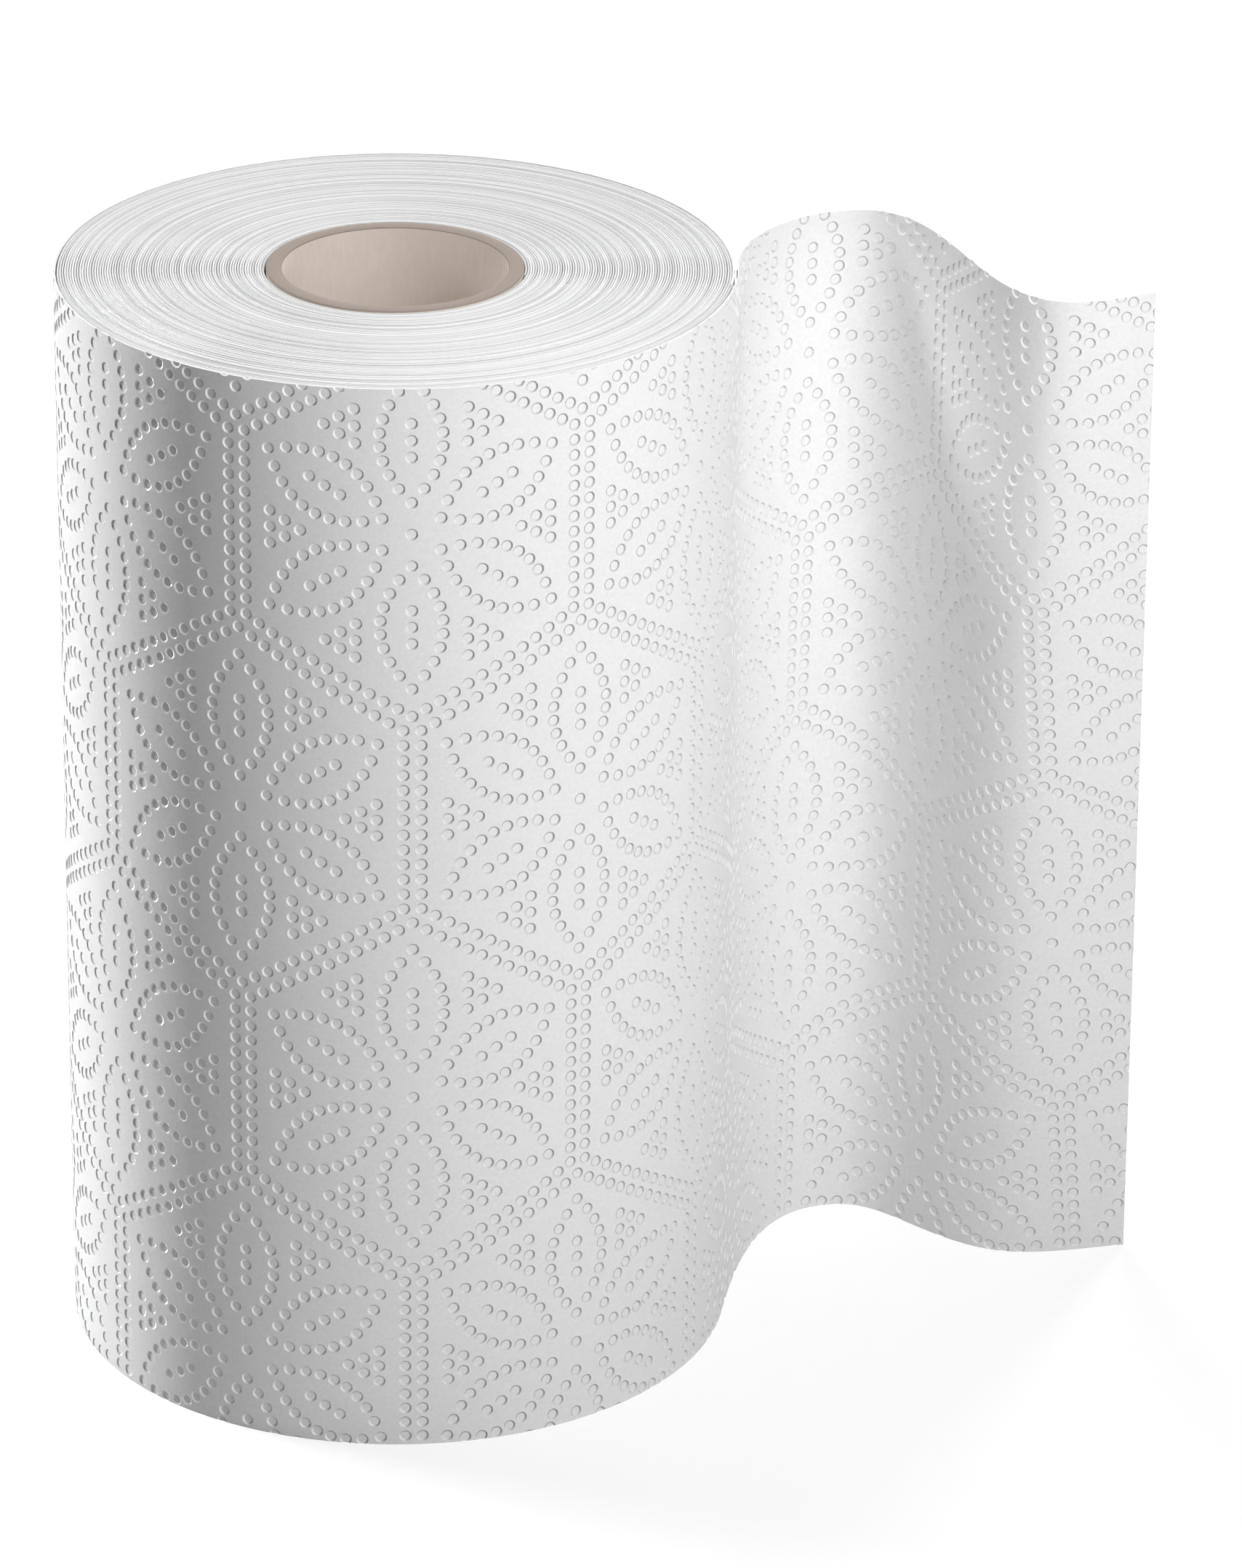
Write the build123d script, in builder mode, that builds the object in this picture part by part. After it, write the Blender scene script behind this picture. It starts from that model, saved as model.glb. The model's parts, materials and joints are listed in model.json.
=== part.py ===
from build123d import *
import os
from math import cos, radians, sin

os.makedirs("parts", exist_ok=True)

# Driving dimensions, in millimetres and degrees.
# The roll stands on one end: its axis is Z, and Z = 0 is the end that it stands on.

# The wound web
web_width = 230.0  # the length of the roll, and the height that it stands
roll_radius = 68.7  # to the outer face of the last turn, where it leaves the roll
sheet_thickness = 0.5  # one embossed turn, uncrushed
nip_gap = 0.3  # how far the loose sheet stands off the turn below it at the nip
nip_angle = -9.0  # round the roll from +X, where the last turn leaves it

# The core
core_bore_radius = 22.75
core_wall = 3.1
core_clearance = 0.1  # between the card and the first turn

# The edges of the turns, which show as rings on both end faces
ring_count = 15
ring_depth = 0.45
ring_unevenness = 0.3  # the share of the depth that varies from ring to ring
ring_rhythm = 137.5  # degrees of the variation from one ring to the next, so that it doesn't repeat
ring_spread = 1.2  # above 1, the rings lie closer near the core than at the rim
rim_land = 2.4  # level band beside the outer face
core_land = 1.2  # level band beside the core

# The loose sheet bows as it leaves the roll, bends round at the back, runs to the front, and bends
# there in two steps, with a flat strip before, between and after the bends.
# The width of each strip is given as (at the foot, at the head). The widths differ, so the bends
# lean, and the foot of the sheet lies further back than its head.
first_strip = (12.8, 11.2)
bow_radius = 72.0  # inside the bend, as for the other bends
bow_turn = 18.0
second_strip = (8.6, 3.0)
back_bend_radius = 16.2
back_bend_turn = 128.3
middle_strip = (3.0, 40.3)
front_bend_radius = 9.0
front_bend_turns = (45.6, 37.3)
fourth_strip = (18.1, 3.0)
last_strip = (15.4, 14.0)
trimmed_ends = 8.0  # what is cut off at the head and at the foot, after the bends are made

# What follows from them
core_radius = core_bore_radius + core_wall
web_bore_radius = core_radius + core_clearance
nip_step = sheet_thickness + nip_gap
out_of_the_roll = Vector(cos(radians(nip_angle)), sin(radians(nip_angle)), 0)
round_the_roll = Vector(-sin(radians(nip_angle)), cos(radians(nip_angle)), 0)
roll_plane = Plane(origin=(0, 0, 0), x_dir=out_of_the_roll, z_dir=(0, 0, 1))
nip_plane = Plane(origin=out_of_the_roll * roll_radius, x_dir=round_the_roll, z_dir=out_of_the_roll)


def ring_edge(first_radius, last_radius, level, depth):
    """Points from the core to the rim along one end face, dipping between neighbouring rings."""
    span = last_radius - first_radius
    crests = [first_radius + span * (ring / ring_count) ** ring_spread for ring in range(ring_count + 1)]
    points = [(crests[0], level)]
    for ring in range(ring_count):
        middle = (crests[ring] + crests[ring + 1]) / 2
        dip = depth * (1 - ring_unevenness * (1 + sin(radians(ring_rhythm * ring))) / 2)
        points.append((middle, level - dip))
        points.append((crests[ring + 1], level))
    return points


def line_across(distance):
    """The ends of a line across the flat web, from (at the foot, at the head), over-long both ways."""
    slope = (distance[1] - distance[0]) / web_width
    foot_end = (distance[0] - slope * trimmed_ends, -trimmed_ends)
    head_end = (distance[1] + slope * trimmed_ends, web_width + trimmed_ends)
    return foot_end, head_end


def turned(plane, axis, angle):
    """The plane after a turn about the axis."""
    hub = Plane(origin=axis.position, z_dir=axis.direction).location
    return Plane(hub * Rotation(0, 0, angle) * hub.inverse() * plane.location)


with BuildPart() as loose_sheet:
    # Each strip is drawn on its front face, with X along the web and Y up it.
    front = nip_plane
    start = (0, 0)
    strips = (first_strip, second_strip, middle_strip, fourth_strip, last_strip)
    bends = (
        (bow_radius, bow_turn, 1),
        (back_bend_radius, back_bend_turn, 1),
        (front_bend_radius, front_bend_turns[0], -1),
        (front_bend_radius, front_bend_turns[1], -1),
        None,
    )
    for strip, bend in zip(strips, bends):
        end = (start[0] + strip[0], start[1] + strip[1])
        with BuildSketch(front):
            with BuildLine():
                Polyline(*line_across(start), *reversed(line_across(end)), close=True)
            make_face()
        extrude(amount=-sheet_thickness)
        if bend:
            # The bend turns the cut end of the strip about an axis in front of it or behind it.
            radius, turn, side = bend
            foot_end, head_end = (front.from_local_coords(point) for point in line_across(end))
            along = (head_end - foot_end).normalized()
            cut_end = Plane(origin=foot_end, x_dir=along, z_dir=front.z_dir.cross(along))
            reach = radius if side > 0 else radius + sheet_thickness
            axis = Axis(foot_end + front.z_dir * side * reach, along * -side)
            with BuildSketch(cut_end):
                Rectangle((head_end - foot_end).length, sheet_thickness, align=Align.MIN)
            revolve(axis=axis, revolution_arc=turn)
            front = turned(front, axis, turn)
            start = end
    split(bisect_by=Plane.XY, keep=Keep.TOP)
    split(bisect_by=Plane.XY.offset(web_width), keep=Keep.BOTTOM)

with BuildPart() as towel_web:
    # The turns: two half circles make an outline that is one step larger after a full turn.
    with BuildSketch(roll_plane):
        with BuildLine():
            CenterArc((-nip_step / 4, 0), roll_radius - 0.75 * nip_step, 0, 180)
            CenterArc((nip_step / 4, 0), roll_radius - 0.25 * nip_step, 180, 180)
            Line((roll_radius - nip_step, 0), (roll_radius, 0))
        make_face()
    extrude(amount=web_width)
    # Both end faces are ringed, and the bore is cut, by one turned profile.
    with BuildSketch(Plane.XZ):
        first_ring = web_bore_radius + core_land
        last_ring = roll_radius - rim_land
        clear_radius = roll_radius + rim_land
        with BuildLine():
            Polyline(
                (web_bore_radius, 0),
                (web_bore_radius, web_width),
                *ring_edge(first_ring, last_ring, web_width, ring_depth),
                (clear_radius, web_width),
                (clear_radius, 0),
                *reversed(ring_edge(first_ring, last_ring, 0, -ring_depth)),
                close=True,
            )
        make_face()
    revolve(axis=Axis.Z, mode=Mode.INTERSECT)
    # The last turn leaves the roll as the loose sheet.
    add(loose_sheet.part)
towel_web.part.label = "towel_web"
export_step(towel_web.part, "parts/towel_web.step")

with BuildPart() as core_tube:
    with BuildSketch():
        Circle(core_radius)
        Circle(core_bore_radius, mode=Mode.SUBTRACT)
    extrude(amount=web_width)
core_tube.part.label = "core_tube"
export_step(core_tube.part, "parts/core_tube.step")

print("turns", round((roll_radius - web_bore_radius) / sheet_thickness))
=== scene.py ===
import json
from math import cos, pi, radians, sin, sqrt, tau
from random import Random

import bmesh
import bpy
import numpy as np
from mathutils import Matrix, Vector
from mathutils.geometry import interpolate_bezier


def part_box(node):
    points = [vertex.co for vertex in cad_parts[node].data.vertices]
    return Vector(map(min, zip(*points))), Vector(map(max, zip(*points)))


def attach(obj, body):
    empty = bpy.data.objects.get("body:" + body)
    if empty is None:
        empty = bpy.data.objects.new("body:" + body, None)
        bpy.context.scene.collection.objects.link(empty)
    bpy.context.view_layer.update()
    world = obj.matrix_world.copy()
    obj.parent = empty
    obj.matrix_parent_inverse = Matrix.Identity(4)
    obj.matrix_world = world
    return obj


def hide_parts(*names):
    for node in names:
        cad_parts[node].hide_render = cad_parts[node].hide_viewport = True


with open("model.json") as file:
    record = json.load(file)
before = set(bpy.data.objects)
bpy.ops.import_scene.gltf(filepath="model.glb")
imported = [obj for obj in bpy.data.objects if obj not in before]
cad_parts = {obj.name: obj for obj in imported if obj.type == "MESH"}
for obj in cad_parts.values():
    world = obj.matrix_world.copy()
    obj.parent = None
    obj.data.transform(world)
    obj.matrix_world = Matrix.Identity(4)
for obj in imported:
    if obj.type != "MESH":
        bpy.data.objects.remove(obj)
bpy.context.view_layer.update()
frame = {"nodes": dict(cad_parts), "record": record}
print("frame loaded:", sorted(frame["nodes"]))

mm = 0.001  # everything is modelled in millimetres and brought to metres at the end
samePlace = 1e-3  # mm, what lies closer is one point
scene = bpy.context.scene
webLow, webHigh = (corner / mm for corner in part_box("towel_web"))
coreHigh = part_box("core_tube")[1] / mm
coreBore = next(m for m in frame["record"]["mounts"] if m["name"] == "core_bore")["dims"]["r_mm"]
webWidth = webHigh.z - webLow.z  # the roll stands on end, so this is also its height
coreRadius = coreHigh.x


# materials

def fromHex(code):
    # sRGB hex to the linear colour that the shader wants
    parts = [int(code[i:i + 2], 16) / 255 for i in (1, 3, 5)]
    return tuple(c / 12.92 if c <= 0.04045 else ((c + 0.055) / 1.055) ** 2.4 for c in parts) + (1.0,)


def addNode(tree, kind, settings=None, links=None):
    node = tree.nodes.new(kind)
    for name, value in (settings or {}).items():
        if isinstance(name, str) and hasattr(node, name):
            setattr(node, name, value)
        else:
            node.inputs[name].default_value = value
    for name, source in (links or {}).items():
        tree.links.new(source, node.inputs[name])
    return node


def newMaterial(name):
    material = bpy.data.materials.new(name)
    material.use_nodes = True
    tree = material.node_tree
    tree.nodes.clear()
    return material, tree


def distanceFromAxis(tree):
    # how far a point lies from the roll's axis, for what runs in rings round it
    coords = addNode(tree, "ShaderNodeTexCoord")
    flat = addNode(
        tree, "ShaderNodeVectorMath", {"operation": "MULTIPLY", 1: (1, 1, 0)}, {0: coords.outputs["Object"]},
    )
    length = addNode(tree, "ShaderNodeVectorMath", {"operation": "LENGTH"}, {0: flat.outputs["Vector"]})
    return length.outputs["Value"]


paper = {
    "sheet": ("#F0F0F0", "#F7F7F7"),  # the thinner and the thicker clumps of fibre
    "edge": ("#DEDEDE", "#F7F7F7"),  # paler and greyer rings on the cut edges; the grey is painted shade, as between the plies
    "roughness": 0.9,
    "shine": 0.2,
    "fibre": 0.7,  # mm, the clumps of fibre in the tissue
    "fibreBump": 0.02,  # mm
    "ring": 1.0,  # mm, two turns, because single ones are too fine to show
    "spread": 0.09,  # mm, how far light travels in a free sheet between fibres
}


def embossedTissue(name, throughLight):
    # Two plies of creped, air dried tissue pressed together: a dead matt white, faintly clouded by its
    # fibres. Where a single sheet stands free, a little of the light comes through it.
    material, tree = newMaterial(name)
    coords = addNode(tree, "ShaderNodeTexCoord")
    fibres = addNode(
        tree, "ShaderNodeTexNoise", {"Scale": 1 / (paper["fibre"] * mm), "Detail": 3.0, "Roughness": 0.6},
        {"Vector": coords.outputs["Object"]},
    )
    cloud = addNode(tree, "ShaderNodeValToRGB", links={"Fac": fibres.outputs["Fac"]})
    cloud.color_ramp.elements[0].position = 0.3
    cloud.color_ramp.elements[0].color = fromHex(paper["sheet"][0])
    cloud.color_ramp.elements[1].position = 0.7
    cloud.color_ramp.elements[1].color = fromHex(paper["sheet"][1])
    bump = addNode(
        tree, "ShaderNodeBump", {"Strength": 0.5, "Distance": paper["fibreBump"] * mm},
        {"Height": fibres.outputs["Fac"]},
    )
    shader = addNode(
        tree, "ShaderNodeBsdfPrincipled",
        {"Roughness": paper["roughness"], "IOR": 1.45, "Specular IOR Level": paper["shine"],
         "Subsurface Weight": throughLight, "Subsurface Radius": (1, 1, 1),
         "Subsurface Scale": paper["spread"] * mm},
        {"Base Color": cloud.outputs["Color"], "Normal": bump.outputs["Normal"]},
    )
    addNode(tree, "ShaderNodeOutputMaterial", links={"Surface": shader.outputs["BSDF"]})
    return material


def cutTissue():
    # The turns' edges, slit by a knife: the same white, in rings of random tone, whose greyer rings are
    # painted shade, as where the plies part.
    material, tree = newMaterial("slit_tissue_edge")
    rings = addNode(
        tree, "ShaderNodeTexNoise",
        {"noise_dimensions": "1D", "Scale": 1 / (paper["ring"] * mm), "Detail": 2.0},
        {"W": distanceFromAxis(tree)},
    )
    # random rings round the axis; the grey rings are painted shade, as in the gaps between the plies
    tone = addNode(tree, "ShaderNodeValToRGB", links={"Fac": rings.outputs["Fac"]})
    tone.color_ramp.elements[0].position = 0.38
    tone.color_ramp.elements[0].color = fromHex(paper["edge"][0])
    tone.color_ramp.elements[1].position = 0.62
    tone.color_ramp.elements[1].color = fromHex(paper["edge"][1])
    shader = addNode(
        tree, "ShaderNodeBsdfPrincipled",
        {"Roughness": paper["roughness"], "IOR": 1.45, "Specular IOR Level": paper["shine"]},
        {"Base Color": tone.outputs["Color"]},
    )
    addNode(tree, "ShaderNodeOutputMaterial", links={"Surface": shader.outputs["BSDF"]})
    return material


board = {
    "face": ("#E1D7CE", "#E7DDD4"),  # the darker and the lighter fibres
    "cut": ("#9F938A", "#A59990"),
    "fibre": 1.1,  # mm, the width of a fibre clump in the grey board
    "fibreSquash": 0.35,  # how much less it changes along the tube than round it
    "fibreBump": 0.02,  # mm
    "ply": 0.4,  # mm, the thickness of one wound ply
}


def coreBoard():
    # Recycled grey board, wound and glued: warm, matt, with longish fibre flecks.
    material, tree = newMaterial("wound_core_board")
    coords = addNode(tree, "ShaderNodeTexCoord")
    squeeze = addNode(
        tree, "ShaderNodeMapping", {"Scale": (1, 1, board["fibreSquash"])},
        {"Vector": coords.outputs["Object"]},
    )
    flecks = addNode(
        tree, "ShaderNodeTexNoise", {"Scale": 1 / (board["fibre"] * mm), "Detail": 4.0, "Roughness": 0.65},
        {"Vector": squeeze.outputs["Vector"]},
    )
    tone = addNode(tree, "ShaderNodeValToRGB", links={"Fac": flecks.outputs["Fac"]})
    tone.color_ramp.elements[0].position = 0.3
    tone.color_ramp.elements[0].color = fromHex(board["face"][0])
    tone.color_ramp.elements[1].position = 0.7
    tone.color_ramp.elements[1].color = fromHex(board["face"][1])
    bump = addNode(
        tree, "ShaderNodeBump", {"Strength": 0.3, "Distance": board["fibreBump"] * mm},
        {"Height": flecks.outputs["Fac"]},
    )
    shader = addNode(
        tree, "ShaderNodeBsdfPrincipled", {"Roughness": 0.75, "IOR": 1.5, "Specular IOR Level": 0.3},
        {"Base Color": tone.outputs["Color"], "Normal": bump.outputs["Normal"]},
    )
    addNode(tree, "ShaderNodeOutputMaterial", links={"Surface": shader.outputs["BSDF"]})
    return material


def coreCut():
    # The board's sawn end: darker than its face, with the plies as faint rings.
    material, tree = newMaterial("cut_core_board")
    plies = addNode(
        tree, "ShaderNodeTexNoise",
        {"noise_dimensions": "1D", "Scale": 1 / (board["ply"] * mm), "Detail": 1.0},
        {"W": distanceFromAxis(tree)},
    )
    tone = addNode(tree, "ShaderNodeValToRGB", links={"Fac": plies.outputs["Fac"]})
    tone.color_ramp.elements[0].position = 0.3
    tone.color_ramp.elements[0].color = fromHex(board["cut"][0])
    tone.color_ramp.elements[1].position = 0.7
    tone.color_ramp.elements[1].color = fromHex(board["cut"][1])
    shader = addNode(
        tree, "ShaderNodeBsdfPrincipled", {"Roughness": 0.85, "IOR": 1.5, "Specular IOR Level": 0.2},
        {"Base Color": tone.outputs["Color"]},
    )
    addNode(tree, "ShaderNodeOutputMaterial", links={"Surface": shader.outputs["BSDF"]})
    return material


tissue = embossedTissue("embossed_tissue", 0.0)
freeTissue = embossedTissue("free_tissue", 1.0)
tissueEdge = cutTissue()
boardFace = coreBoard()
boardCut = coreCut()
print("materials made")


# shared modelling helpers

def addPiece(name, mesh, materials, node):
    piece = bpy.data.objects.new(name, mesh)
    scene.collection.objects.link(piece)
    for material in materials:
        mesh.materials.append(material)
    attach(piece, "root")
    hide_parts(node)
    mesh.calc_loop_triangles()
    print(" ", name, len(mesh.loop_triangles), "triangles")
    return piece


def sharpen(bm, angle):
    # smooth shading with hard edges where two faces turn by more than the angle
    for face in bm.faces:
        face.smooth = True
    for edge in bm.edges:
        edge.smooth = len(edge.link_faces) == 2 and edge.calc_face_angle(0) < radians(angle)


def vertsOf(geometry):
    return [g for g in geometry if isinstance(g, bmesh.types.BMVert)]


# the embossing: one honeycomb cell of dots, drawn on the flat web and repeated

emboss = {  # lengths are in mm
    "acrossFlats": 70.0,  # one cell
    "lineInset": 1.75,  # from the cell's edge to the dotted line inside it
    "dotsPerSide": 12,
    "petalFoot": 6.6,  # from the cell's middle
    "petalTip": 32.6,
    "petalBulge": 6.2,
    "dotsPerBow": 9,  # along each side of a petal
    "vein": (16.0, 19.5, 23.0),  # dots inside a petal
    "wedge": ((-3.4, 28.0), (0.0, 28.0), (3.4, 28.0), (-1.7, 24.9), (1.7, 24.9), (0.0, 21.8)),
    "rimRadius": 1.3,  # of a dot
    "wallWidth": 0.36,
    "depth": 0.2,
    "relief": 8.0,  # the walls shade as if pressed that much deeper, as their creped plies swell
    "dotSides": 10,
    "firstRow": 18.0,  # height of the lowest row's middle above the foot of the web
    "firstColumn": 12.0,  # along the web, from the nip to the middle of a cell in that row
    "crease": 22,  # degrees, above which an edge stays sharp
}
cellCorner = emboss["acrossFlats"] / sqrt(3)
rowPitch = 1.5 * cellCorner


def dotPlaces():
    places = [Vector((0, 0))]
    lineCorner = Vector((0, cellCorner - 2 * emboss["lineInset"] / sqrt(3)))
    foot, tip = Vector((0, emboss["petalFoot"])), Vector((0, emboss["petalTip"]))
    for k in range(6):
        turn, nextTurn = Matrix.Rotation(k * pi / 3, 2), Matrix.Rotation((k + 1) * pi / 3, 2)
        between = Matrix.Rotation((k + 0.5) * pi / 3, 2)
        for i in range(emboss["dotsPerSide"]):  # the dotted line inside the cell's edge
            places.append((turn @ lineCorner).lerp(nextTurn @ lineCorner, i / emboss["dotsPerSide"]))
        for start, end, side in ((foot, tip, -1), (tip, foot, 1)):  # a petal, up one side and down the other
            for i in range(emboss["dotsPerBow"]):
                t = i / emboss["dotsPerBow"]
                bulge = Vector((side * emboss["petalBulge"] * 4 * t * (1 - t), 0))
                places.append(turn @ (start.lerp(end, t) + bulge))
        places += [turn @ Vector((0, height)) for height in emboss["vein"]]
        places += [between @ Vector(dot) for dot in emboss["wedge"]]
    return places


def embossedCell():
    # a flat six sided patch with every dot pressed into it
    bm = bmesh.new()
    bmesh.ops.create_circle(bm, segments=6, radius=cellCorner)
    caps = []
    for place in dotPlaces():
        dot = bmesh.ops.create_circle(
            bm, cap_ends=True, segments=emboss["dotSides"], radius=emboss["rimRadius"],
            matrix=Matrix.Translation((place.x, place.y, 0)),
        )
        caps.append(dot["verts"][0].link_faces[0])
    bmesh.ops.triangle_fill(bm, use_beauty=True, edges=bm.edges[:], normal=(0, 0, 1))
    bmesh.ops.inset_individual(
        bm, faces=caps, thickness=emboss["wallWidth"], depth=-emboss["depth"], use_even_offset=True,
    )
    mesh = bpy.data.meshes.new("cell")
    bm.to_mesh(mesh)
    bm.free()
    return mesh


def cutFlat(bm, place, outward, **options):
    bmesh.ops.bisect_plane(
        bm, geom=bm.verts[:] + bm.edges[:] + bm.faces[:], dist=samePlace / 10,
        plane_co=place, plane_no=outward, **options,
    )


def crossCut(bm, foot, head, **options):
    # cuts the flat web along a line from one place on its foot to another on its head
    cutFlat(bm, (foot, 0, 0), Vector((webWidth, foot - head, 0)).normalized(), **options)


def flatWeb(lines):
    # each line is (place at the foot, place at the head): the first and the last bound the piece, and
    # it can bend at the others
    bm = bmesh.new()
    reach = emboss["acrossFlats"] / 2
    lowest, highest = min(lines[0]), max(lines[-1])
    row = 0
    while emboss["firstRow"] + row * rowPitch - cellCorner < webWidth:
        height = emboss["firstRow"] + row * rowPitch
        shift = emboss["firstColumn"] + (reach if row % 2 else 0)
        first = int((lowest - shift - reach) // emboss["acrossFlats"])
        last = int((highest - shift + reach) // emboss["acrossFlats"]) + 1
        for column in range(first, last + 1):
            along = shift + column * emboss["acrossFlats"]
            if along + reach < lowest or along - reach > highest:
                continue
            known = len(bm.verts)
            bm.from_mesh(cell)
            bm.verts.ensure_lookup_table()
            bmesh.ops.translate(bm, vec=(along, height, 0), verts=bm.verts[known:])
        row += 1
    bmesh.ops.remove_doubles(bm, verts=[v for v in bm.verts if v.is_boundary], dist=samePlace)
    bmesh.ops.recalc_face_normals(bm, faces=bm.faces[:])
    if sum(face.normal.z for face in bm.faces) < 0:
        bmesh.ops.reverse_faces(bm, faces=bm.faces[:])
    for level, outward in ((0, -1), (webWidth, 1)):
        cutFlat(bm, (0, level, 0), (0, outward, 0), clear_outer=True)
    crossCut(bm, *lines[0], clear_inner=True)
    crossCut(bm, *lines[-1], clear_outer=True)
    for line in lines[1:-1]:
        crossCut(bm, *line)
    return bm


def bend(bm, name, route):
    # brings the flat web onto its route, and its shading with it, so that the paper between dots stays even
    flat = bpy.data.meshes.new(name)
    bm.to_mesh(flat)
    bm.free()
    count, corners = len(flat.vertices), len(flat.loops)
    places, normals, owner = np.empty(count * 3), np.empty(corners * 3), np.empty(corners, int)
    flat.vertices.foreach_get("co", places)
    flat.corner_normals.foreach_get("vector", normals)
    flat.loops.foreach_get("vertex_index", owner)
    u, v, w = places.reshape(-1, 3).T
    base, along, up, out = route(u, v)
    bent = base + out * w[:, None]
    bent[:, 2] = np.clip(bent[:, 2], 0, webWidth)
    flat.vertices.foreach_set("co", (bent * mm).ravel())
    n = normals.reshape(-1, 3) * (emboss["relief"], emboss["relief"], 1)
    turned = along[owner] * n[:, :1] + up[owner] * n[:, 1:2] + out[owner] * n[:, 2:]
    turned /= np.linalg.norm(turned, axis=1)[:, None]
    flat.update()
    flat.normals_split_custom_set(turned.tolist())
    return flat


cell = embossedCell()
print("one cell of the embossing made:", len(cell.vertices), "vertices")


# the wound roll

roll = {  # lengths are in mm
    "radius": 68.7,  # to the outer face of the last turn where it leaves
    "nipAngle": -9.0,  # degrees round from +X, where the last turn leaves
    "lastStep": 0.8,  # how much the last turn gains in one round
    "thickness": 0.5,  # one turn
    "coreGap": 0.1,  # between the card and the first turn
    "underGap": 0.05,  # between the last turn and the one under it
    "turns": 83,  # under the last one
    "steps": 112,  # per turn
    "lastTurnBends": 86,
}
nip = radians(roll["nipAngle"])
lastTurnLength = tau * (roll["radius"] - roll["lastStep"] / 2)


def unevenness(rng, spacing):
    # random values at even spacing, in turns, joined smoothly
    values = np.array([rng.uniform(-1, 1) for _ in range(int(roll["turns"] / spacing) + 3)])

    def at(turns):
        place = turns / spacing
        k = place.astype(int)
        t = place - k
        return values[k] + (values[k + 1] - values[k]) * t * t * (3 - 2 * t)

    return at


edges = {
    "groove": 0.34,  # mm, how far the turn's shoulders lie below its crest
    "shoulder": 0.11,  # mm across
    "slack": 0.05,  # mm between turns
    "wave": 0.16,  # mm, slow waves
    "waveSpacing": 5.7,  # turns
    "ripple": 0.12,  # mm, from turn to turn
    "rippleSpacing": 0.36,  # turns
    "lean": 0.07,  # mm, from one side of a crest to the other
    "leanSpacing": 0.47,  # turns
    "crease": 30,  # degrees, above which an edge stays sharp
    "seed": 11,
}


def turnSection(pitch):
    # the eight corners round one turn's section: their place across it, how far they lie below its
    # crest, which of them are at the top, and on which side of the crest they are
    slack, shoulder, groove = edges["slack"] / 2, edges["shoulder"], edges["groove"]
    across = np.array([slack, shoulder, pitch - shoulder, pitch - slack])
    drop = np.array([groove, 0, 0, groove])
    top = np.array([1, 1, 1, 1, 0, 0, 0, 0])
    side = np.array([0, -1, 1, 0, 0, 1, -1, 0])
    return np.append(across, across[::-1]), np.append(drop, drop), top, side


def woundTurns():
    # one strip wound from the core outwards: its upper and lower edges are what the end faces show
    rng = Random(edges["seed"])
    innerRadius = coreRadius + roll["coreGap"]
    pitch = (roll["radius"] - roll["lastStep"] - roll["thickness"] - innerRadius) / roll["turns"]
    across, drop, top, side = turnSection(pitch)
    steps = roll["turns"] * roll["steps"]
    bm = bmesh.new()
    bmesh.ops.create_grid(bm, x_segments=steps, y_segments=len(top), size=0.5)
    flat = np.array([tuple(v.co) for v in bm.verts])  # -0.5 to 0.5 along the strip and round its section
    turns = (flat[:, 0] + 0.5) * roll["turns"]
    corner = np.rint((flat[:, 1] + 0.5) * len(top)).astype(int) % len(top)
    angle = nip + turns * tau
    radius = innerRadius + pitch * turns + across[corner]
    down = drop[corner]
    for end in (0, 1):  # the foot's edge, then the head's
        wave, ripple = unevenness(rng, edges["waveSpacing"]), unevenness(rng, edges["rippleSpacing"])
        lean = unevenness(rng, edges["leanSpacing"])
        low = edges["wave"] * (1 + wave(turns)) / 2 + edges["ripple"] * (1 + ripple(turns)) / 2
        low += edges["lean"] * (1 + side[corner] * lean(turns)) / 2
        down = down + np.where(top[corner] == end, low, 0)
    height = np.where(top[corner] == 1, webWidth - down, down)
    places = np.column_stack((radius * np.cos(angle), radius * np.sin(angle), height)) * mm
    for vert, place in zip(bm.verts, places):
        vert.co = place
    seam = [v for v in bm.verts if v.is_boundary]
    bmesh.ops.remove_doubles(bm, verts=seam, dist=samePlace / 10 * mm)
    bmesh.ops.holes_fill(bm, edges=[e for e in bm.edges if e.is_boundary], sides=len(top))
    bmesh.ops.recalc_face_normals(bm, faces=bm.faces[:])
    sharpen(bm, edges["crease"])
    mesh = bpy.data.meshes.new("wound_turns")
    bm.to_mesh(mesh)
    bm.free()
    return addPiece("wound_turns", mesh, [tissueEdge], "towel_web")


def aroundTheRoll(u, v):
    # the last turn: its radius grows by one step in one round, and u runs from -one round to 0 at the nip
    angle = nip + u / lastTurnLength * tau
    radius = roll["radius"] + roll["lastStep"] * u / lastTurnLength
    zero, one = np.zeros_like(u), np.ones_like(u)
    out = np.stack((np.cos(angle), np.sin(angle), zero), 1)
    base = out * radius[:, None]
    base[:, 2] = v
    along = np.stack((-np.sin(angle), np.cos(angle), zero), 1)
    return base, along, np.stack((zero, zero, one), 1), out


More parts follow.
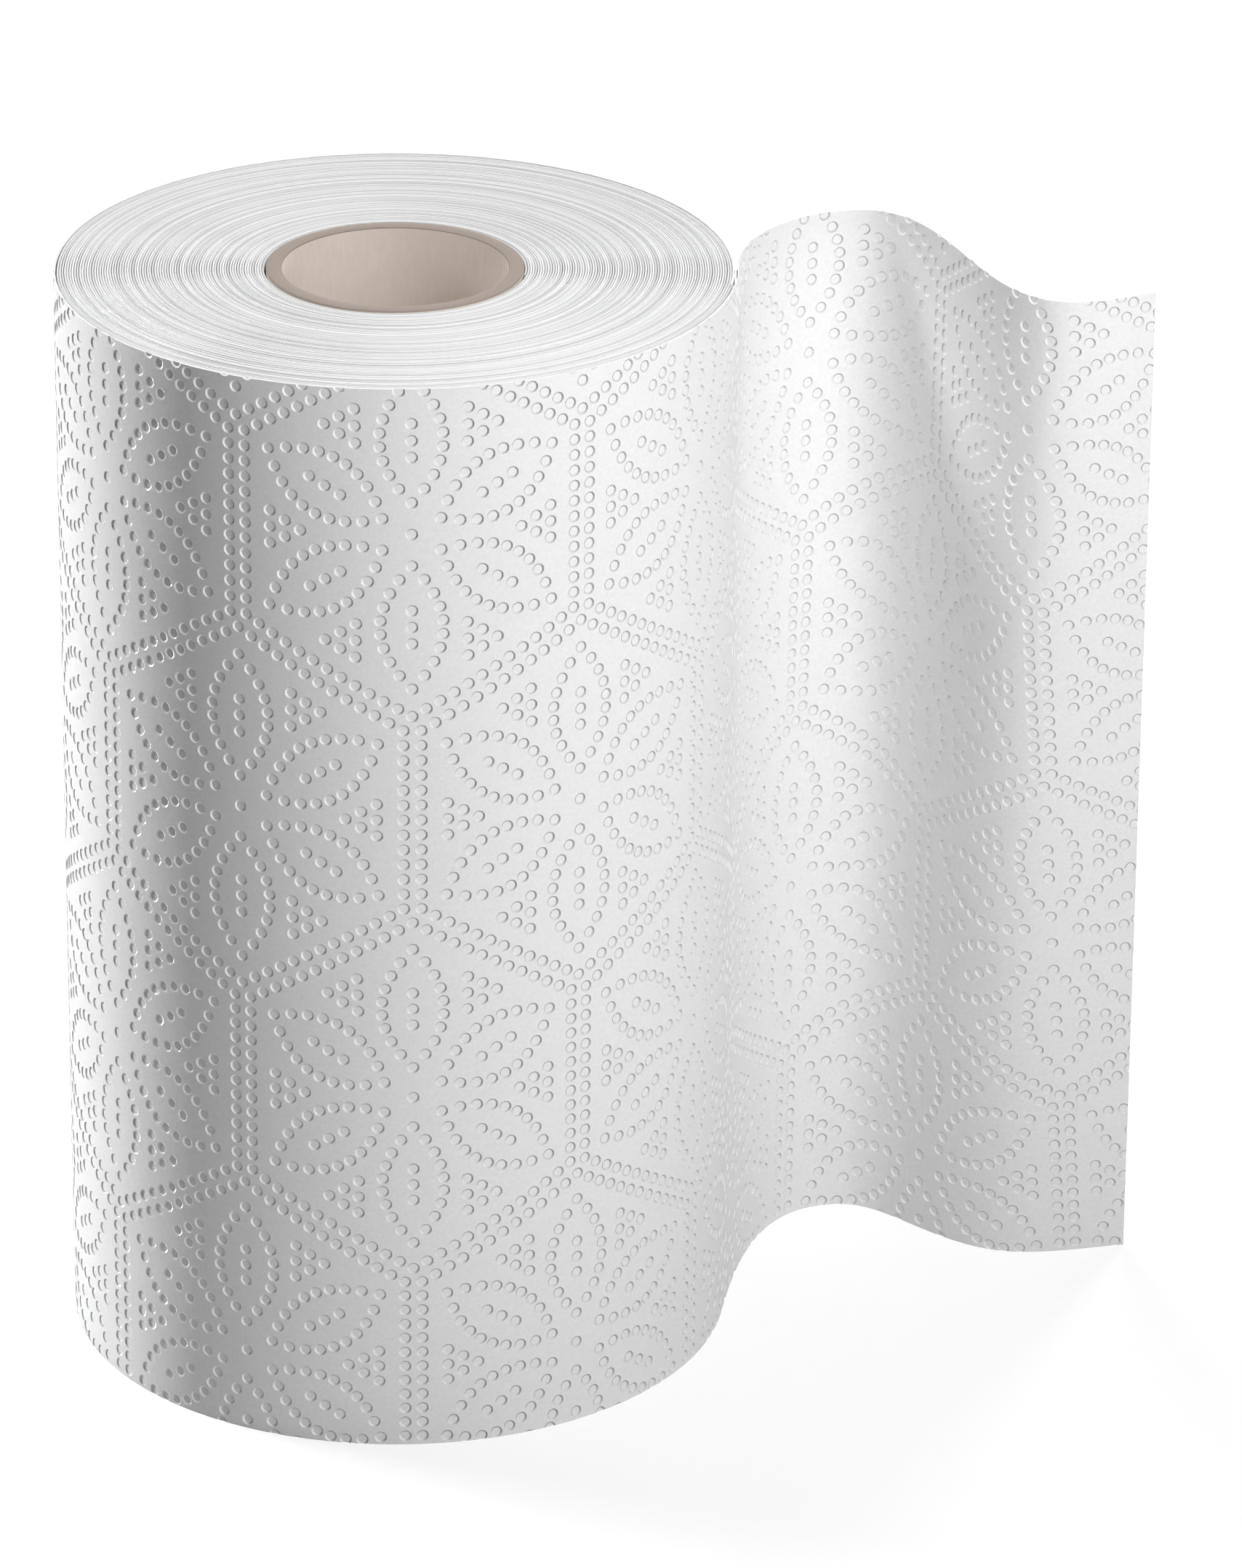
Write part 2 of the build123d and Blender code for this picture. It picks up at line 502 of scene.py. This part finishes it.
def closeBehind(bm, depth, lines):
    # a plain inner face, which nothing shows, joined to the rim of the embossed one only where it bends
    wall = bmesh.ops.extrude_edge_only(bm, edges=[e for e in bm.edges if e.is_boundary])["geom"]
    rim = vertsOf(wall)
    bends = np.array([line[0] for line in lines])
    spare = []
    for vert in rim:
        atEnd = min(vert.co.y, webWidth - vert.co.y) < samePlace
        if not atEnd or np.abs(bends - vert.co.x).min() > samePlace:
            spare += [e for e in vert.link_edges if not e.is_boundary]
        vert.co.z = -depth
    bmesh.ops.dissolve_edges(bm, edges=spare, use_verts=True)
    inner = [v for v in bm.verts if abs(v.co.z + depth) < samePlace]
    foot = sorted((v for v in inner if v.co.y < webWidth / 2), key=lambda v: v.co.x)
    head = sorted((v for v in inner if v.co.y > webWidth / 2), key=lambda v: v.co.x)
    for i in range(1, len(foot)):
        bm.faces.new((foot[i - 1], head[i - 1], head[i], foot[i]))
    bmesh.ops.recalc_face_normals(bm, faces=bm.faces[:])


def lastTurn(name, start, end):
    count = roll["lastTurnBends"] // 2
    lines = [(start + (end - start) * i / count,) * 2 for i in range(count + 1)]
    bm = flatWeb(lines)
    closeBehind(bm, roll["thickness"] - roll["underGap"], lines)
    sharpen(bm, emboss["crease"])
    mesh = bend(bm, name, aroundTheRoll)
    return addPiece(name, mesh, [tissue], "towel_web")


woundTurns()
lastTurn("last_turn_back", -lastTurnLength, -lastTurnLength / 2)
lastTurn("last_turn_front", -lastTurnLength / 2, 0.0)
print("roll made")


# the loose sheet

sheet = {
    "thickness": 0.2,  # mm, the paper itself
    "bends": 34,
    "straightShare": 0.8,  # how many degrees of turn a millimetre of the straight stretches counts for
    # its plan at the foot and at the head, in mm: how many degrees past the nip it leaves the roll, where
    # it turns at the back, where it turns at the front, where it ends, and the curve's handles
    "foot": {"clings": 0.0, "crest": (95.5, 39.5), "trough": (133.5, 16.8), "end": (155.0, 20.2),
             "heading": 9.0, "handles": (32, 16, 11, 18, 8, 7)},
    "head": {"clings": 9.0, "crest": (95.0, 33.4), "trough": (134.3, -20.2), "end": (151.2, -14.2),
             "heading": 24.0, "handles": (17.9, 13.3, 20, 20.5, 7, 6)},
    "clingSteps": 16,
    "samples": 64,  # along each curve
    "levels": 24,  # the plan is worked out at so many heights, and at so many places along it
    "places": 256,
    "slopeAlong": 0.004,  # how far to either side its slope is read, as shares of its length and height
    "slopeUp": 0.02,
}


def planPoints(share):
    # the sheet's plan at a share of its height, as three joined curves
    foot, head = sheet["foot"], sheet["head"]

    def mixed(key):
        return Vector(foot[key]).lerp(Vector(head[key]), share)

    clings, heading = (radians(foot[key] + (head[key] - foot[key]) * share) for key in ("clings", "heading"))
    turned = [nip + clings * i / sheet["clingSteps"] for i in range(sheet["clingSteps"] + 1)]
    onTheRoll = [Vector((cos(angle), sin(angle))) for angle in turned]
    points = [place * roll["radius"] for place in onTheRoll]
    leaving = onTheRoll[-1].orthogonal()
    crest, trough, end = mixed("crest"), mixed("trough"), mixed("end")
    handles = [a + (b - a) * share for a, b in zip(foot["handles"], head["handles"])]
    arriving = Vector((cos(heading), sin(heading)))
    right = Vector((1, 0))
    spans = (
        (points[-1], points[-1] + leaving * handles[0], crest - right * handles[1], crest),
        (crest, crest + right * handles[2], trough - right * handles[3], trough),
        (trough, trough + right * handles[4], end - arriving * handles[5], end),
    )
    for span in spans:
        points += interpolate_bezier(*span, sheet["samples"])[1:]
    return np.array([tuple(p) for p in points])


def planTable():
    # evenly spaced points along the plan at each level, and how long it is there
    shares = np.linspace(0, 1, sheet["places"] + 1)
    table, lengths = [], []
    for level in range(sheet["levels"] + 1):
        points = planPoints(level / sheet["levels"])
        gone = np.concatenate(([0], np.cumsum(np.linalg.norm(np.diff(points, axis=0), axis=1))))
        lengths.append(gone[-1])
        table.append([np.interp(shares * gone[-1], gone, points[:, axis]) for axis in (0, 1)])
    return np.array(table), np.array(lengths)


planAt, planLengths = planTable()
sheetLengths = planLengths[0], planLengths[-1]


def fromTable(share, level):
    # smooth lookup between the table's points
    x = np.clip(share, 0, 1) * (planAt.shape[2] - 1)
    y = np.clip(level, 0, 1) * (planAt.shape[0] - 1)
    i, j = np.minimum(x.astype(int), planAt.shape[2] - 2), np.minimum(y.astype(int), planAt.shape[0] - 2)
    a, b = (x - i)[:, None], (y - j)[:, None]
    corners = [planAt[j + dj, :, i + di] for dj, di in ((0, 0), (0, 1), (1, 0), (1, 1))]
    return (corners[0] * (1 - a) + corners[1] * a) * (1 - b) + (corners[2] * (1 - a) + corners[3] * a) * b


def alongTheSheet(u, v):
    level = v / webWidth
    length = sheetLengths[0] + (sheetLengths[1] - sheetLengths[0]) * level
    share = u / length
    zero, one = np.zeros_like(u), np.ones_like(u)
    base = np.column_stack((fromTable(share, level), v))
    ahead, behind = np.minimum(share + sheet["slopeAlong"], 1), np.maximum(share - sheet["slopeAlong"], 0)
    along = np.column_stack((fromTable(ahead, level) - fromTable(behind, level), zero))
    along /= np.linalg.norm(along, axis=1)[:, None]
    over, under = np.minimum(level + sheet["slopeUp"], 1), np.maximum(level - sheet["slopeUp"], 0)
    rise = np.column_stack((fromTable(share, over) - fromTable(share, under), (over - under) * webWidth))
    out = np.cross(along, rise)
    out /= np.linalg.norm(out, axis=1)[:, None]
    return base, along, np.cross(out, along), out


def bendLines():
    # lines up the flat sheet, close together where it turns and further apart where it runs straight
    shares = np.linspace(0, 1, planAt.shape[2])
    effort = np.zeros(len(shares))
    for level in (0, -1):
        step = np.diff(planAt[level], axis=1)
        heading = np.degrees(np.unwrap(np.arctan2(step[1], step[0])))
        effort[1:-1] += np.abs(np.diff(heading)) / 2
    effort[1:] += sheet["straightShare"] * planLengths.mean() / (len(shares) - 1)
    gone = np.cumsum(effort)
    chosen = np.interp(np.linspace(0, gone[-1], sheet["bends"] + 1), gone, shares)
    return [(share * sheetLengths[0], share * sheetLengths[1]) for share in chosen]


def looseSheet():
    bm = flatWeb(bendLines())
    bmesh.ops.solidify(bm, geom=bm.faces[:], thickness=sheet["thickness"])
    sharpen(bm, emboss["crease"])
    mesh = bend(bm, "loose_sheet", alongTheSheet)
    return addPiece("loose_sheet", mesh, [freeTissue], "towel_web")


sheetPiece = looseSheet()
print("loose sheet made:", [round(length, 1) for length in sheetLengths], "mm long at the foot and the head")


# the core

core = {
    "segments": 128,
    "edgeRound": 0.25,  # mm
    "rimTurn": 60,  # degrees, above which an edge is rounded
    "crease": 50,  # degrees, above which an edge stays sharp
}


def coreTube():
    bm = bmesh.new()
    section = [(coreBore, 0), (coreRadius, 0), (coreRadius, webWidth), (coreBore, webWidth)]
    loop = [bm.verts.new((x, 0, z)) for x, z in section]
    outline = [bm.edges.new((loop[i - 1], loop[i])) for i in range(len(loop))]
    bmesh.ops.spin(
        bm, geom=outline, cent=(0, 0, 0), axis=(0, 0, 1), angle=tau, steps=core["segments"], use_merge=True,
    )
    bmesh.ops.recalc_face_normals(bm, faces=bm.faces[:])
    rims = [e for e in bm.edges if e.calc_face_angle(0) > radians(core["rimTurn"])]
    bmesh.ops.bevel(
        bm, geom=rims, offset=core["edgeRound"], segments=2, profile=0.5, affect="EDGES", material=-1,
    )
    for face in bm.faces:
        middle = face.calc_center_median()
        face.material_index = 0 if 2 * core["edgeRound"] < middle.z < webWidth - 2 * core["edgeRound"] else 1
    sharpen(bm, core["crease"])
    bmesh.ops.scale(bm, vec=(mm, mm, mm), verts=bm.verts)
    mesh = bpy.data.meshes.new("core_card")
    bm.to_mesh(mesh)
    bm.free()
    return addPiece("core_card", mesh, [boardFace, boardCut], "core_tube")


coreTube()
print("core made")


# floor, light and camera

stage = {
    "floor": 6.0,  # metres
    "floorColour": "#C4C4C4",
    "showWhite": 0.58,  # what the camera sees on top of the lit floor
    "world": 0.02,  # the strength of the light that comes from all round
}


def seenNotLit(tree):
    # 1 where the camera sees a thing, itself or in a gloss or through glass, and 0 for the light it gives
    path = addNode(tree, "ShaderNodeLightPath")
    seen = addNode(
        tree, "ShaderNodeMath", {"operation": "MAXIMUM"},
        {0: path.outputs["Is Camera Ray"], 1: path.outputs["Is Glossy Ray"]},
    )
    seen = addNode(
        tree, "ShaderNodeMath", {"operation": "MAXIMUM"},
        {0: seen.outputs["Value"], 1: path.outputs["Is Transmission Ray"]},
    )
    return seen.outputs["Value"]


def floorMaterial():
    # pale painted board; the camera sees it lifted to white, the object doesn't
    material, tree = newMaterial("pale_floor")
    lift = addNode(
        tree, "ShaderNodeMath", {"operation": "MULTIPLY", 1: stage["showWhite"]}, {0: seenNotLit(tree)},
    )
    lit = addNode(tree, "ShaderNodeBsdfDiffuse", {"Color": fromHex(stage["floorColour"])})
    white = addNode(tree, "ShaderNodeEmission", {"Color": (1, 1, 1, 1)}, {"Strength": lift.outputs["Value"]})
    both = addNode(tree, "ShaderNodeAddShader", links={0: lit.outputs["BSDF"], 1: white.outputs["Emission"]})
    addNode(tree, "ShaderNodeOutputMaterial", links={"Surface": both.outputs["Shader"]})
    return material


def addFloor():
    bm = bmesh.new()
    bmesh.ops.create_grid(bm, x_segments=1, y_segments=1, size=stage["floor"] / 2)
    mesh = bpy.data.meshes.new("floor")
    bm.to_mesh(mesh)
    bm.free()
    mesh.materials.append(floorMaterial())
    floor = bpy.data.objects.new("floor", mesh)
    scene.collection.objects.link(floor)


def addWorld():
    world = bpy.data.worlds.new("soft_room")
    world.use_nodes = True
    tree = world.node_tree
    tree.nodes.clear()
    room = addNode(tree, "ShaderNodeBackground", {"Color": (1, 1, 1, 1), "Strength": stage["world"]})
    white = addNode(tree, "ShaderNodeBackground", {"Color": (1, 1, 1, 1), "Strength": 1.0})
    mixed = addNode(
        tree, "ShaderNodeMixShader",
        links={0: seenNotLit(tree), 1: room.outputs["Background"], 2: white.outputs["Background"]},
    )
    addNode(tree, "ShaderNodeOutputWorld", links={"Surface": mixed.outputs["Shader"]})
    scene.world = world


# degrees round from the camera to the right, degrees up, metres away, metres across and tall, watts
lamps = {
    "key": {"round": 38, "up": 29, "away": 0.5, "size": (0.18, 1.0), "power": 2.35},
    # a gridded strip box beside the roll: metres off to one side, and degrees that its light fans out
    "limb": {"round": -127, "up": 6, "away": 1.0, "size": (0.03, 0.6), "power": 0.13,
             "aside": 0.075, "fan": 7},
    "back": {"round": -120, "up": 55, "away": 1.6, "size": (0.5, 0.5), "power": 14},
    "behind": {"round": -165, "up": 25, "away": 1.6, "size": (0.5, 0.5), "power": 7},
    "through": {"round": 150, "up": 20, "away": 1.6, "size": (0.5, 0.5), "power": 9},
}


def addLamps():
    middle = Vector((0, 0, webWidth / 2)) * mm
    for name, lamp in lamps.items():
        light = bpy.data.lights.new(name, "AREA")
        light.shape = "ELLIPSE"
        light.size, light.size_y = lamp["size"]
        light.spread = radians(lamp.get("fan", 180))
        light.energy = lamp["power"]
        holder = bpy.data.objects.new(name, light)
        a, e = radians(lamp["round"]), radians(lamp["up"])
        towards = Vector((sin(a) * cos(e), -cos(a) * cos(e), sin(e)))
        sideways = Vector((cos(a), sin(a), 0))
        holder.location = middle + towards * lamp["away"] + sideways * lamp.get("aside", 0)
        holder.rotation_mode = "QUATERNION"
        holder.rotation_quaternion = towards.to_track_quat("Z", "Y")
        scene.collection.objects.link(holder)


view = {
    "place": (12.79, -1512.53, 786.10),  # mm
    "down": 23.87,  # degrees
    "right": 1.152,
    "lens": 184.63,  # mm
    "film": 36,  # mm, its long side
    "nearest": 0.01,  # metres
    "furthest": 50,
}


def addCamera():
    camera = bpy.data.objects.new("camera", bpy.data.cameras.new("camera"))
    camera.data.lens = view["lens"]
    camera.data.sensor_width = view["film"]
    camera.data.clip_start, camera.data.clip_end = view["nearest"], view["furthest"]
    camera.matrix_world = (
        Matrix.Translation(Vector(view["place"]) * mm)
        @ Matrix.Rotation(radians(90 - view["down"]), 4, "X")
        @ Matrix.Rotation(radians(-view["right"]), 4, "Y")
    )
    scene.collection.objects.link(camera)
    scene.camera = camera


addFloor()
addWorld()
addLamps()
addCamera()
scene.view_settings.view_transform = "Standard"
print("floor, light and camera set")

for leftover in [m for m in bpy.data.meshes if m.users == 0]:
    bpy.data.meshes.remove(leftover)
